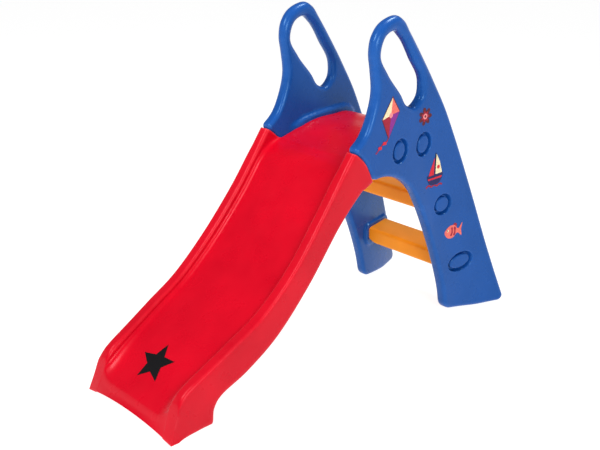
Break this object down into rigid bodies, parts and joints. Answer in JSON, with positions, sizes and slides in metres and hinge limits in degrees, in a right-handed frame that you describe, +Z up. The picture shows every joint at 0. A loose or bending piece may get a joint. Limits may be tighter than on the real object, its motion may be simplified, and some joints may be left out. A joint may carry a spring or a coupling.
{
  "type": "toddler slide",
  "caption": "Free-standing plastic toddler slide: an S-curved chute with its platform, side panels with hand loops, and steps between flared legs.",
  "frame": {"origin": "on the floor, under the middle of the slide's overall box", "axes": "+X to the left hand of a child sliding down, +Y from the exit to the ladder, +Z up"},
  "size_m": [0.5244, 1.3334, 0.9995],
  "materials": {
    "red_plastic": "moulded, semi-gloss",
    "blue_plastic": "moulded, semi-gloss",
    "orange_plastic": "moulded, semi-gloss",
    "zinc_steel": "zinc-plated",
    "sticker_coral": "printed film",
    "sticker_maroon": "printed film",
    "sticker_cream": "printed film"
  },
  "bodies": {
    "root": {"chute": "red_plastic", "right_side_panel": "blue_plastic", "left_side_panel": "blue_plastic", "lower_step": "orange_plastic", "upper_step": "orange_plastic", "right_platform_front_cap": "blue_plastic", "right_platform_front_screw": "zinc_steel", "right_platform_front_washer": "zinc_steel", "right_platform_front_nut": "zinc_steel", "right_platform_rear_cap": "blue_plastic", "right_platform_rear_screw": "zinc_steel", "right_platform_rear_washer": "zinc_steel", "right_platform_rear_nut": "zinc_steel", "right_upper_step_cap": "blue_plastic", "right_upper_step_screw": "zinc_steel", "right_upper_step_washer": "zinc_steel", "right_upper_step_nut": "zinc_steel", "right_lower_step_cap": "blue_plastic", "right_lower_step_screw": "zinc_steel", "right_lower_step_washer": "zinc_steel", "right_lower_step_nut": "zinc_steel", "right_kite_sticker": "sticker_coral", "right_flower_sticker": "sticker_maroon", "right_boat_sticker": "sticker_cream", "right_fish_sticker": "sticker_coral", "left_platform_front_cap": "blue_plastic", "left_platform_front_screw": "zinc_steel", "left_platform_front_washer": "zinc_steel", "left_platform_front_nut": "zinc_steel", "left_platform_rear_cap": "blue_plastic", "left_platform_rear_screw": "zinc_steel", "left_platform_rear_washer": "zinc_steel", "left_platform_rear_nut": "zinc_steel", "left_upper_step_cap": "blue_plastic", "left_upper_step_screw": "zinc_steel", "left_upper_step_washer": "zinc_steel", "left_upper_step_nut": "zinc_steel", "left_lower_step_cap": "blue_plastic", "left_lower_step_screw": "zinc_steel", "left_lower_step_washer": "zinc_steel", "left_lower_step_nut": "zinc_steel", "left_kite_sticker": "sticker_coral", "left_flower_sticker": "sticker_maroon", "left_boat_sticker": "sticker_cream", "left_fish_sticker": "sticker_coral"}
  },
  "joints": []
}
